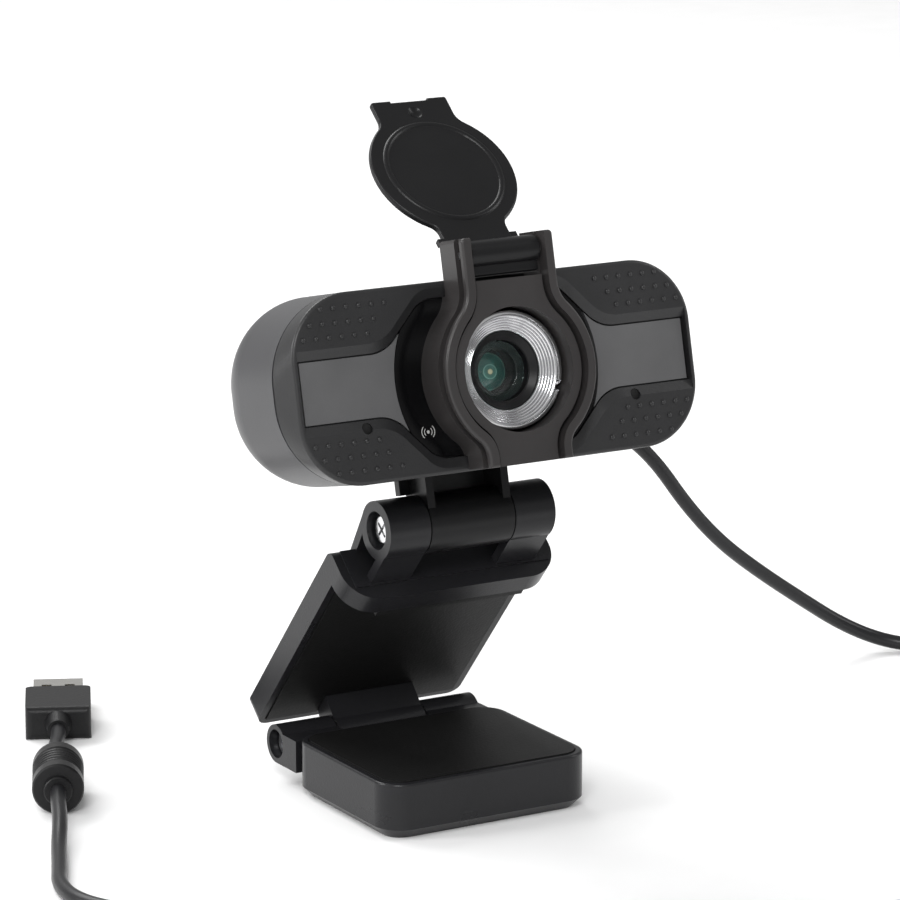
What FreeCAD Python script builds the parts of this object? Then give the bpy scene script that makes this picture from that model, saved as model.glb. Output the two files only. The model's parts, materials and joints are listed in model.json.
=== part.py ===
"""Webcam with a flip-up lens cover on a fold-out monitor clip, standing on the clip's foot.

Millimetres. The origin is the mouth of the thread in the middle of the foot's underside:
+X to the right of someone facing the lens, +Y to the back, +Z up. The lens looks along -Y.
Three frames are used, and each sub-part is modelled in the one it belongs to:
  foot frame - the world frame;
  clip frame - Y 0, Z 0 on the foot hinge, leg upright, jaw opening towards -Y;
  head frame - Y 0 on the face, Z 0 on the lens axis, depth towards +Y.
"""
import FreeCAD, Part
import math
import os

V = FreeCAD.Vector
X_AXIS = V(1, 0, 0)

# ---- foot ----
FOOT_WIDTH = 53.0
FOOT_DEPTH = 44.8
FOOT_HEIGHT = 13.0
FOOT_CORNER = 6.5
FOOT_CHAMFER = 2.4
FOOT_RIM = 1.5
FOOT_WALL = 3.0
PAD_THICK = 1.6          # rubber pads of foot and leg
PAD_PROUD = 0.3          # how far a pad stands above its rim
PAD_GAP = 0.15           # gap round a pad
THREAD_R = 2.6           # bore of the quarter-inch tripod thread
INSERT_R = 4.5
INSERT_LONG = 8.0

# ---- foot hinge ----
HINGE_Y = 31.0
HINGE_Z = 9.0
KNUCKLE_R = 4.5
KNUCKLE_OUT = 26.0       # half of the width over the foot's knuckles
KNUCKLE_IN = 11.6        # half of the width of the clip's knuckle
KNUCKLE_GAP = 0.35
SCREW_R = 1.6            # hinge screw shanks
RUNNING = 0.06           # radial clearance of a shaft that turns
SINK_R = 3.35            # sunk hole round a hinge screw's head
SINK_DEEP = 4.0

# ---- clip ----
CLIP_LEAN = 41.4         # degrees that the leg leans forward when the webcam stands
CLIP_WIDTH = 54.0
LEG_BACK = 13.65         # back face of the leg, behind the foot hinge
LEG_THICK = 5.85
LEG_LOW = -3.4
LEG_TOP = 57.8
LEG_RIM = 1.8
ARM_LOW = 2.0            # where the hinge arm meets the leg
ARM_TOP = 5.0
PLATE_THICK = 5.35
PLATE_FRONT = -0.95      # front lip of the top plate
LIP_CORNER = 8.0
BARREL_R = 6.6           # tilt barrels
TILT_Y = 9.55
TILT_Z = 69.4
BARREL_IN = 10.95
BARREL_OUT = 21.2
WEB_THICK = 2.2
TILT_SINK_R = 4.3
TILT_SINK_DEEP = 4.2

# ---- head ----
HEAD_PITCH = 13.15       # degrees that the head looks up when the webcam stands
HEAD_TILT_Y = 25.3       # tilt axis behind the face
HEAD_TILT_Z = -32.0      # tilt axis below the lens axis
FACE_HALF = 50.0
BODY_HALF = 52.6
HALF_HIGH = 20.8
FACE_CORNER = 14.0
BODY_CORNER = 19.0
PARTING = 6.0            # parting line between the two shells
HEAD_DEEP = 36.0
REAR_ROUND = 14.0
SHELL_WALL = 2.0
PARTING_WIDE = 0.35      # groove along the parting line
PARTING_DEEP = 0.5
RECESS_DEEP = 1.0        # wing panels below the pads
PAD_SLOPE = 2.2          # width of the pads' sloping edges
WING_HALF = 49.1
WING_HIGH = 7.05
WAIST_HIGH = 17.4        # half height of the recess beside the lens
SURROUND_R = 25.3
PANEL_THICK = 1.2
END_GAP = 0.8            # gap at a wing panel's outer end
SEAM = 0.35              # gap round the inserts of the face
MIC_X = 34.0
MIC_Z = -8.8
MIC_R = 1.25
BOSS_X = 34.0            # housing screws and their bosses
BOSS_Z = 5.5
POST_X = 22.0            # posts and screws of the circuit board
POST_Z = 15.0
LIGHT_X = -18.7          # status light on the surround
LIGHT_Z = -11.2
SLOT_HALF = 13.6         # slot for the neck in the rear shell
SLOT_FRONT = 19.3
SLOT_BACK = 29.5

# ---- cover bracket ----
BULGE_R = 18.8
NECK_HALF = 11.4         # half width over the ears
FOOT_HALF = 10.4         # half width at the bottom
EAR_SWEEP = 7.0          # hollow curve between ear and bulge
FOOT_SWEEP = 5.0
RIM_WIDE = 2.2
TRENCH_WIDE = 0.9        # trench between rim and inner plate
TRENCH_DEEP = 2.0
BRACKET_OUT = 9.8        # rim in front of the face
PLATE_OUT = 8.4          # inner plate in front of the face
COLLAR_OUT = 6.2
GROOVE_WIDE = 2.2
GROOVE_DEEP = 1.1
EAR_TOP = 29.2
BAY_LOW = 19.8           # lower edge of the hinge bay
BRACKET_LOW = -20.4

# ---- flap ----
PIN_Y = -5.7
PIN_Z = 25.6
PIN_R = 1.0
PIN_HALF = 10.5          # blind holes in the ears
FLAP_BARREL_R = 3.0
FLAP_R = 17.2
FLAP_THICK = 1.6
FLAP_OFF = 4.5           # inner face in front of the hinge pin when shut
FLAP_TAB_HALF = 9.6
FLAP_ROOT_HALF = 8.4     # half width at the hinge
FLAP_ROOT_SWEEP = 3.0
FLAP_TAB_SWEEP = 4.0
FLAP_LUG_HALF = 9.9
FLAP_TAB_END = 48.2      # from the hinge pin
FLAP_MIDDLE = -1.5       # disc's middle above the lens axis when shut
FLAP_OPEN = 216.0        # degrees from shut to the pose modelled here

# ---- lens ----
RING_R = 13.0
RING_OUT = 4.9
OPENING_R = 13.6
GLASS_R = 6.6
GLASS_OUT = 0.9

# ---- cable ----
CABLE_D = 3.5
FLOOR_AXIS = 1.9         # height of the cable's axis where it lies
GLAND_X = 34.0
GLAND_Z = -5.0
GLAND_LONG = 8.0
COIL_X = 127.0
COIL_Y = -66.0
COIL_OUT_R = 30.0        # seven turns in two layers
COIL_IN_R = 12.2
COIL_TOP = 7.1
FERRITE_R = 5.85
FERRITE_LONG = 21.2
PLUG_WIDE = 15.6
PLUG_THICK = 8.0
PLUG_LONG = 18.7
PLUG_NECK = 5.4
SHELL_WIDE = 12.0
SHELL_THICK = 4.5
SHELL_LONG = 12.2
PLUG_LINE_X = 0.43       # the plug's direction on the desk
PLUG_LINE_Y = 0.903


# ---- basic shapes ----
def box(x0, x1, y0, y1, z0, z1):
    return Part.makeBox(x1 - x0, y1 - y0, z1 - z0, V(x0, y0, z0))


def rod_x(r, x0, x1, y, z):
    return Part.makeCylinder(r, x1 - x0, V(x0, y, z), X_AXIS)


def rod_y(r, y0, y1, x=0.0, z=0.0):
    return Part.makeCylinder(r, y1 - y0, V(x, y0, z), V(0, 1, 0))


def rod_z(r, z0, z1, x=0.0, y=0.0):
    return Part.makeCylinder(r, z1 - z0, V(x, y, z0), V(0, 0, 1))


def cone_y(r0, r1, y0, y1):
    return Part.makeCone(r0, r1, y1 - y0, V(0, y0, 0), V(0, 1, 0))


def fuse(shapes):
    joined = shapes[0].fuse(shapes[1:])
    return joined.removeSplitter()


def mirrored(shape):
    return shape.mirror(V(0, 0, 0), X_AXIS)


def slab_x(points, x0, x1):
    """A (y, z) polygon carried along X."""
    corners = [V(x0, y, z) for y, z in points]
    wire = Part.makePolygon(corners + corners[:1])
    return Part.Face(wire).extrude(V(x1 - x0, 0, 0))


def rounded_wire(half_w, half_h, r, place):
    """A rounded rectangle; place turns its two coordinates into a point."""
    k = r * (1 - math.sqrt(0.5))
    edges = []
    corners = [(1, 1), (-1, 1), (-1, -1), (1, -1)]
    starts = []
    for sx, sy in corners:
        on_side = (sx * half_w, sy * (half_h - r))
        on_top = (sx * (half_w - r), sy * half_h)
        middle = (sx * (half_w - k), sy * (half_h - k))
        first, last = (on_side, on_top) if sx * sy > 0 else (on_top, on_side)
        edges.append(Part.Arc(place(*first), place(*middle), place(*last)).toShape())
        starts.append((first, last))
    for k_now in range(4):
        a = starts[k_now][1]
        b = starts[(k_now + 1) % 4][0]
        if math.dist(a, b) > 1e-6:
            edges.append(Part.LineSegment(place(*a), place(*b)).toShape())
    return Part.Wire(Part.__sortEdges__(edges))


def rounded_z(half_x, half_y, r, z0, z1, x=0.0, y=0.0):
    wire = rounded_wire(half_x, half_y, r, lambda u, w: V(x + u, y + w, z0))
    return Part.Face(wire).extrude(V(0, 0, z1 - z0))


def rounded_y(half_x, half_z, r, y0, y1, x=0.0, z=0.0):
    wire = rounded_wire(half_x, half_z, r, lambda u, w: V(x + u, y0, z + w))
    return Part.Face(wire).extrude(V(0, y1 - y0, 0))


def edges_at(shape, test):
    """Edges all of whose points pass the test."""
    return [e for e in shape.Edges if all(test(p) for p in e.discretize(5))]


# ---- frames ----
def in_clip(shape):
    turned = shape.copy()
    turned.rotate(V(0, 0, 0), X_AXIS, CLIP_LEAN)
    turned.translate(V(0, HINGE_Y, HINGE_Z))
    return turned


def tilt_axis():
    lean = math.radians(CLIP_LEAN)
    y = HINGE_Y + TILT_Y * math.cos(lean) - TILT_Z * math.sin(lean)
    z = HINGE_Z + TILT_Y * math.sin(lean) + TILT_Z * math.cos(lean)
    return V(0, y, z)


def in_head(shape):
    turned = shape.copy()
    turned.translate(V(0, -HEAD_TILT_Y, -HEAD_TILT_Z))
    turned.rotate(V(0, 0, 0), X_AXIS, -HEAD_PITCH)
    turned.translate(tilt_axis())
    return turned


def flap_open(shape):
    """From the shut position, in the head frame, to the open one."""
    turned = shape.copy()
    turned.rotate(V(0, PIN_Y, PIN_Z), X_AXIS, -FLAP_OPEN)
    return turned


# ---- foot ----
def foot_block():
    body = rounded_z(FOOT_WIDTH / 2, FOOT_DEPTH / 2, FOOT_CORNER, 0, FOOT_HEIGHT)
    low = edges_at(body, lambda p: p.z < 1e-3)
    body = body.makeChamfer(FOOT_CHAMFER, low)
    top = edges_at(body, lambda p: p.z > FOOT_HEIGHT - 1e-3)
    body = body.makeFillet(0.6, top)
    sunk = PAD_THICK - PAD_PROUD
    half_x = FOOT_WIDTH / 2 - FOOT_RIM
    half_y = FOOT_DEPTH / 2 - FOOT_RIM
    pad_bed = rounded_z(half_x, half_y, FOOT_CORNER - FOOT_RIM, FOOT_HEIGHT - sunk, 20)
    inside = rounded_z(half_x - FOOT_WALL, half_y - FOOT_WALL, 3.0, FOOT_WALL, 20)
    boss = rod_z(INSERT_R + 2.0, 0, FOOT_HEIGHT - sunk)
    ribs = fuse([
        box(-half_x, half_x, -0.8, 0.8, 0, FOOT_HEIGHT - sunk),
        box(-0.8, 0.8, -half_y, half_y, 0, FOOT_HEIGHT - sunk),
        boss,
    ]).common(inside)
    body = body.cut(pad_bed).cut(inside).fuse(ribs)
    back = FOOT_DEPTH / 2 - 1.0
    for side in (-1, 1):
        x0, x1 = sorted((side * (KNUCKLE_IN + KNUCKLE_GAP), side * KNUCKLE_OUT))
        arm = box(x0, x1, back, HINGE_Y, HINGE_Z - KNUCKLE_R, HINGE_Z + 3.0)
        body = body.fuse([arm, rod_x(KNUCKLE_R, x0, x1, HINGE_Y, HINGE_Z)])
    body = body.cut(rod_x(SCREW_R + RUNNING, -40, 40, HINGE_Y, HINGE_Z))
    for side in (-1, 1):
        x0, x1 = sorted((side * (KNUCKLE_OUT - SINK_DEEP), side * 40))
        body = body.cut(rod_x(SINK_R, x0, x1, HINGE_Y, HINGE_Z))
    return body.cut(rod_z(INSERT_R, -1, INSERT_LONG)).removeSplitter()


def foot_pad():
    half_x = FOOT_WIDTH / 2 - FOOT_RIM - PAD_GAP
    half_y = FOOT_DEPTH / 2 - FOOT_RIM - PAD_GAP
    low = FOOT_HEIGHT - PAD_THICK + PAD_PROUD
    pad = rounded_z(half_x, half_y, FOOT_CORNER - FOOT_RIM, low, FOOT_HEIGHT + PAD_PROUD)
    return pad


def tripod_insert():
    return rod_z(INSERT_R - 0.02, 0.0, INSERT_LONG).cut(rod_z(THREAD_R, -1, 20))


def hinge_screw():
    """Cross-head screw along the foot hinge, its head sunk in the left knuckle."""
    head_x = -(KNUCKLE_OUT - SINK_DEEP)
    shank = rod_x(SCREW_R, head_x, -head_x + 2.2, HINGE_Y, HINGE_Z)
    head = rod_x(2.9, head_x - 1.8, head_x, HINGE_Y, HINGE_Z)
    return fuse([shank, head]).cut(cross_slot(head_x - 1.8, HINGE_Y, HINGE_Z, 1.6))


def cross_slot(x, y, z, half):
    """Cross recess cut into a screw head whose face is at x, looking towards -X."""
    bars = [
        box(x - 1, x + 0.9, y - half, y + half, z - 0.35, z + 0.35),
        box(x - 1, x + 0.9, y - 0.35, y + 0.35, z - half, z + half),
    ]
    return fuse(bars)


def hinge_nut():
    x0 = KNUCKLE_OUT - SINK_DEEP
    return hex_x(2.8, x0, x0 + 2.0, HINGE_Y, HINGE_Z).cut(
        rod_x(SCREW_R + 0.01, 0, 40, HINGE_Y, HINGE_Z))


def hex_x(half_flats, x0, x1, y, z):
    reach = half_flats / math.cos(math.pi / 6)
    turns = [math.pi / 6 + k * math.pi / 3 for k in range(6)]
    return slab_x([(y + reach * math.cos(t), z + reach * math.sin(t)) for t in turns], x0, x1)


# ---- clip, leg upright ----
def clip_bracket():
    half = CLIP_WIDTH / 2
    inner = LEG_BACK - LEG_THICK
    leg = box(-half, half, inner, LEG_BACK, LEG_LOW, LEG_TOP)
    low = edges_at(leg, lambda p: abs(abs(p.x) - half) < 1e-3 and p.z < LEG_LOW + 1e-3)
    leg = leg.makeFillet(3.0, low)
    plate = box(-half, half, PLATE_FRONT, LEG_BACK, LEG_TOP - PLATE_THICK, LEG_TOP)
    lip = edges_at(plate, lambda p: abs(abs(p.x) - half) < 1e-3 and p.y < PLATE_FRONT + 1e-3)
    plate = plate.makeFillet(LIP_CORNER, lip)
    step = box(-half + 2, half - 2, PLATE_FRONT + 3.6, LEG_BACK - 1, LEG_TOP, LEG_TOP + 0.5)
    body = leg.fuse(plate).removeSplitter()
    back_top = edges_at(body, lambda p: p.y > LEG_BACK - 1e-3 and abs(p.z - LEG_TOP) < 1e-3)
    body = body.makeFillet(2.0, back_top).fuse(step)
    sunk = PAD_THICK - PAD_PROUD
    bed = box(-half + LEG_RIM, half - LEG_RIM, inner - 1, inner + sunk,
              LEG_LOW + LEG_RIM, LEG_TOP - PLATE_THICK)
    body = body.cut(bed)
    arm = slab_x([
        (-KNUCKLE_R * 0.6, -KNUCKLE_R * 0.8),
        (KNUCKLE_R * 0.8, -KNUCKLE_R * 0.6),
        (LEG_BACK - 0.6, ARM_LOW),
        (LEG_BACK - 0.6, ARM_TOP),
        (inner + 2.0, ARM_TOP),
        (-KNUCKLE_R * 0.5, KNUCKLE_R * 0.85),
    ], -KNUCKLE_IN, KNUCKLE_IN)
    body = body.fuse([arm, rod_x(KNUCKLE_R, -KNUCKLE_IN, KNUCKLE_IN, 0, 0)])
    body = body.cut(rod_x(SCREW_R + RUNNING, -40, 40, 0, 0))
    for side in (-1, 1):
        x0, x1 = sorted((side * BARREL_IN, side * BARREL_OUT))
        front = TILT_Y - BARREL_R + 0.25
        webs = [
            box(x0, x1, front, front + WEB_THICK, LEG_TOP - 1, TILT_Z),
            slab_x([
                (LEG_BACK, LEG_TOP - 2), (LEG_BACK - WEB_THICK, LEG_TOP - 2),
                (TILT_Y + BARREL_R - WEB_THICK, TILT_Z), (TILT_Y + BARREL_R, TILT_Z),
            ], x0, x1),
        ]
        body = body.fuse(webs + [rod_x(BARREL_R, x0, x1, TILT_Y, TILT_Z)])
    body = body.cut(rod_x(SCREW_R + RUNNING, -40, 40, TILT_Y, TILT_Z))
    for side in (-1, 1):
        x0, x1 = sorted((side * (BARREL_OUT - TILT_SINK_DEEP), side * 40))
        body = body.cut(rod_x(TILT_SINK_R, x0, x1, TILT_Y, TILT_Z))
    return body.removeSplitter()


def leg_pad():
    half = CLIP_WIDTH / 2 - LEG_RIM - PAD_GAP
    inner = LEG_BACK - LEG_THICK
    low = LEG_LOW + LEG_RIM + PAD_GAP
    high = LEG_TOP - PLATE_THICK - 1.1
    back = inner + PAD_THICK - PAD_PROUD
    pad = box(-half, half, back - PAD_THICK, back, low, high)
    arm_half = KNUCKLE_IN + PAD_GAP
    return pad.cut(box(-arm_half, arm_half, 0, LEG_BACK, LEG_LOW, ARM_TOP + PAD_GAP))


def lip_pad():
    """Thin rubber strip under the top plate's lip."""
    z = LEG_TOP - PLATE_THICK
    return box(-19.0, 19.0, PLATE_FRONT + 0.1, PLATE_FRONT + 6.6, z - 1.6, z)


def tilt_screw():
    face = -(BARREL_OUT - TILT_SINK_DEEP + 0.8)
    shank = rod_x(SCREW_R, face, BARREL_OUT - 1.0, TILT_Y, TILT_Z)
    head = rod_x(3.5, face - 2.0, face, TILT_Y, TILT_Z)
    head = head.makeFillet(0.7, edges_at(head, lambda p: p.x < face - 2.0 + 1e-3))
    return fuse([shank, head]).cut(cross_slot(face - 2.0, TILT_Y, TILT_Z, 2.0))


def tilt_washer():
    x = -(BARREL_OUT - TILT_SINK_DEEP)
    ring = rod_x(4.0, x - 0.78, x, TILT_Y, TILT_Z)
    return ring.cut(rod_x(SCREW_R + 0.05, x - 2, x + 2, TILT_Y, TILT_Z))


def tilt_nut():
    x = BARREL_OUT - TILT_SINK_DEEP
    return hex_x(3.5, x, x + 2.6, TILT_Y, TILT_Z).cut(
        rod_x(SCREW_R + 0.01, x - 2, x + 9, TILT_Y, TILT_Z))


# ---- head shells ----
def shell_wire(y, grow):
    """The head's outline at depth y, made smaller by the wall when grow is negative."""
    part = min(y, PARTING) / PARTING
    half = FACE_HALF + (BODY_HALF - FACE_HALF) * part + grow
    corner = FACE_CORNER + (BODY_CORNER - FACE_CORNER) * part + grow
    return rounded_wire(half, HALF_HIGH + grow, corner, lambda u, w: V(u, y, w))


def front_body(grow):
    return Part.makeLoft([shell_wire(0, grow), shell_wire(PARTING, grow)], True, True)


def rear_body(grow):
    body = Part.Face(shell_wire(PARTING, grow)).extrude(V(0, HEAD_DEEP + grow - PARTING, 0))
    rear = edges_at(body, lambda p: p.y > HEAD_DEEP + grow - 1e-3)
    return body.makeFillet(REAR_ROUND + grow, rear)


def recess_half():
    """Upper edge of the face's bow-tie recess, from the right end to the waist."""
    turn = math.radians(46)
    first_r = 9.0
    last_r = 6.5
    start_x = 31.0
    a = (start_x - first_r * math.sin(turn), WING_HIGH + first_r * (1 - math.cos(turn)))
    rise = WAIST_HIGH - a[1] - last_r * (1 - math.cos(turn))
    b = (a[0] - rise / math.tan(turn), a[1] + rise)
    c = (b[0] - last_r * math.sin(turn), WAIST_HIGH)
    half = turn / 2
    mid_a = (start_x - first_r * math.sin(half), WING_HIGH + first_r * (1 - math.cos(half)))
    mid_c = (c[0] + last_r * math.sin(half), WAIST_HIGH - last_r * (1 - math.cos(half)))
    return start_x, a, mid_a, b, mid_c, c


def recess_wire(y, grow):
    """The whole recess, symmetric about both axes, at depth y; grow widens it."""
    start_x, a, mid_a, b, mid_c, c = recess_half()
    high = WING_HIGH + grow
    end = WING_HALF + min(grow, 0)
    shift = grow / math.sqrt(2)

    def at(point, sx, sz, along=0.0):
        return V(sx * (point[0] + along), y, sz * (point[1] + grow))

    edges = []
    for sx in (1, -1):
        edges.append(Part.LineSegment(V(sx * end, y, -high), V(sx * end, y, high)).toShape())
        for sz in (1, -1):
            near = shift * 0.5
            p0 = V(sx * (start_x + near), y, sz * high)
            p1 = at(mid_a, sx, sz, near)
            p2 = at(a, sx, sz, near)
            p3 = at(b, sx, sz, near)
            p4 = at(mid_c, sx, sz, near)
            p5 = at(c, sx, sz, near)
            edges.append(Part.LineSegment(V(sx * end, y, sz * high), p0).toShape())
            edges.append(Part.Arc(p0, p1, p2).toShape())
            edges.append(Part.LineSegment(p2, p3).toShape())
            edges.append(Part.Arc(p3, p4, p5).toShape())
    top = c[0] + shift * 0.5
    for sz in (1, -1):
        z = sz * (WAIST_HIGH + grow)
        edges.append(Part.LineSegment(V(top, y, z), V(-top, y, z)).toShape())
    return Part.Wire(Part.__sortEdges__(edges))


def recess_body(grow, y0, y1):
    return Part.Face(recess_wire(y0, grow)).extrude(V(0, y1 - y0, 0))


def front_housing():
    body = front_body(0.0)
    rim = edges_at(body, lambda p: p.y < 1e-3)
    body = body.makeFillet(0.8, rim)
    inside = front_body(-SHELL_WALL).common(box(-60, 60, RECESS_DEEP + 3.2, 20, -30, 30))
    body = body.cut(inside)
    # the pads slope down to the recess
    slope = Part.makeLoft([recess_wire(-0.05, PAD_SLOPE), recess_wire(RECESS_DEEP, 0.0)],
                          True, True)
    body = body.cut(slope)
    body = body.cut(recess_body(0.0, 0.5, RECESS_DEEP + PANEL_THICK))
    body = body.cut(rod_y(OPENING_R, -1, 20))
    for side in (-1, 1):
        body = body.cut(rod_y(MIC_R, -1, 20, side * MIC_X, MIC_Z))
        boss = rod_y(3.2, RECESS_DEEP + 3.0, PARTING + 10.0, side * BOSS_X, BOSS_Z)
        hole = rod_y(0.9, PARTING, PARTING + 12, side * BOSS_X, BOSS_Z)
        body = body.fuse(boss).cut(hole)
        for sz in (-1, 1):
            post = rod_y(2.2, RECESS_DEEP + 3.0, PARTING + 4.0, side * POST_X, sz * POST_Z)
            post_hole = rod_y(0.8, PARTING - 1, PARTING + 9, side * POST_X, sz * POST_Z)
            body = body.fuse(post).cut(post_hole)
    body = body.cut(rod_y(1.3, -1, 20, LIGHT_X, LIGHT_Z))
    return body.cut(parting_groove()).removeSplitter()


def parting_groove():
    """Narrow step round the front housing's rear edge."""
    back = V(0, -PARTING_WIDE, 0)
    around = Part.Face(shell_wire(PARTING, 1.0)).extrude(back)
    return around.cut(Part.Face(shell_wire(PARTING, -PARTING_DEEP)).extrude(back))


def pad_dots():
    """Grid of small raised dots on the four pads of the face, 3 rows of 6 on each."""
    dots = []
    rows = [(17.6, 26.6), (14.4, 29.6), (11.4, 31.5)]
    for sx in (-1, 1):
        for sz in (-1, 1):
            for z, x_first in rows:
                for k in range(6):
                    x = sx * (x_first + 3.12 * k)
                    dots.append(rod_y(0.5, -0.25, 0.3, x, sz * z))
    return dots


def rear_wall():
    """Room taken by the rear shell's wall, a little thicker than the wall itself."""
    return rear_body(0.0).cut(rear_body(-SHELL_WALL - 0.08))


def neck_slot():
    return box(-SLOT_HALF, SLOT_HALF, SLOT_FRONT, SLOT_BACK, -30, -10)


def rear_shell():
    body = rear_body(0.0).cut(rear_body(-SHELL_WALL))
    body = body.cut(neck_slot())
    for side in (-1, 1):
        x = side * BOSS_X
        post = rod_y(3.2, PARTING + 10.4, HEAD_DEEP - 1.0, x, BOSS_Z)
        body = body.fuse(post)
        body = body.cut(rod_y(1.3, PARTING, HEAD_DEEP + 1, x, BOSS_Z))
        body = body.cut(rod_y(2.5, HEAD_DEEP - 6.0, HEAD_DEEP + 1, x, BOSS_Z))
    body = body.cut(rod_y(2.9, HEAD_DEEP - 9, HEAD_DEEP + 1, GLAND_X, GLAND_Z))
    return body.removeSplitter()


def wing_panel(side):
    """Flat insert between the pads, with a curved inner end round the lens."""
    body = recess_body(-SEAM, RECESS_DEEP, RECESS_DEEP + PANEL_THICK)
    keep = box(5, WING_HALF - END_GAP, -5, 10, -30, 30)
    body = body.common(keep).cut(rod_y(SURROUND_R + SEAM, -5, 10))
    return body if side > 0 else mirrored(body)


def lens_surround():
    """Glossy black ring sunk round the cover bracket, clipped by the pads."""
    body = recess_body(-SEAM, RECESS_DEEP + 0.35, RECESS_DEEP + PANEL_THICK)
    return body.common(rod_y(SURROUND_R, -5, 10)).cut(rod_y(OPENING_R, -5, 10))


# ---- cover bracket ----
def sweep_points(r, half, sweep, end):
    """Hollow curve between a round plate's edge and a straight side at half.

    Returns its point on the straight side, its middle, its point on the circle and the
    straight side's end; the sign of end tells above from below.
    """
    sign = 1 if end > 0 else -1
    cx = half + sweep
    cz = sign * math.sqrt((r + sweep) ** 2 - cx * cx)
    away = math.hypot(cx, cz)
    way = (-1 - cx / away, -cz / away)
    long = math.hypot(*way)
    middle = (cx + sweep * way[0] / long, cz + sweep * way[1] / long)
    on_circle = (cx * r / away, cz * r / away)
    return (half, cz), middle, on_circle, (half, end)


def keyhole_wire(y, r, upper, lower):
    """A round plate with a straight strip running out above and below.

    upper and lower are each (half width, hollow curve's radius, end).
    """
    edges = []
    high = sweep_points(r, *upper)
    low = sweep_points(r, *lower)
    for sx in (1, -1):
        def at(point):
            return V(sx * point[0], y, point[1])
        for line, middle, circle, end in (high, low):
            edges.append(Part.LineSegment(at(end), at(line)).toShape())
            edges.append(Part.Arc(at(line), at(middle), at(circle)).toShape())
        edges.append(Part.Arc(at(high[2]), V(sx * r, y, 0), at(low[2])).toShape())
    for points in (high, low):
        half, z = points[3]
        edges.append(Part.LineSegment(V(half, y, z), V(-half, y, z)).toShape())
    return Part.Wire(Part.__sortEdges__(edges))


def onion(grow, y0, y1, top, low):
    """The bracket's outline: ears above, a bulge about the lens, a short foot below."""
    upper = (NECK_HALF + grow, EAR_SWEEP - grow, top)
    lower = (FOOT_HALF + grow, FOOT_SWEEP - grow, low)
    wire = keyhole_wire(y0, BULGE_R + grow, upper, lower)
    return Part.Face(wire).extrude(V(0, y1 - y0, 0))


def cover_bracket():
    floor = RECESS_DEEP + 0.35
    body = onion(0.0, -BRACKET_OUT, floor, EAR_TOP, BRACKET_LOW)
    body = body.makeFillet(0.9, edges_at(
        body, lambda p: p.z > EAR_TOP - 1e-3 and abs(abs(p.x) - NECK_HALF) < 1e-3))
    body = body.makeFillet(0.6, edges_at(body, lambda p: p.y < -BRACKET_OUT + 1e-3))
    inside_recess = WAIST_HIGH - 0.05
    above = box(-30, 30, 0.0, 10, inside_recess, 40)
    below = box(-30, 30, 0.0, 10, -40, -inside_recess)
    body = body.cut(above).cut(below)
    groove_front = -COLLAR_OUT - GROOVE_WIDE
    full = onion(1.0, groove_front, -COLLAR_OUT, EAR_TOP + 1, BRACKET_LOW - 1)
    core = onion(-GROOVE_DEEP, groove_front, -COLLAR_OUT, EAR_TOP + 1, BRACKET_LOW - 1)
    body = body.cut(full.cut(core))
    dish = onion(-RIM_WIDE, -BRACKET_OUT - 1, -PLATE_OUT, EAR_TOP + 1, BRACKET_LOW - 1)
    trench = onion(-RIM_WIDE, -PLATE_OUT, -PLATE_OUT + TRENCH_DEEP, EAR_TOP + 1, BRACKET_LOW - 1)
    plate = onion(-RIM_WIDE - TRENCH_WIDE, -PLATE_OUT, -PLATE_OUT + TRENCH_DEEP,
                  EAR_TOP + 1, BRACKET_LOW - 1)
    body = body.cut(dish).cut(trench.cut(plate))
    bay = box(-8.8, 8.8, -20, 20, BAY_LOW, 40)
    body = body.cut(bay)
    body = body.cut(rod_y(OPENING_R, -20, 20))
    body = body.cut(rod_x(PIN_R, -PIN_HALF, PIN_HALF, PIN_Y, PIN_Z))
    return body.removeSplitter()


def flap_pin():
    half = PIN_HALF - 0.05
    return rod_x(PIN_R - 0.02, -half, half, PIN_Y, PIN_Z)


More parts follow.
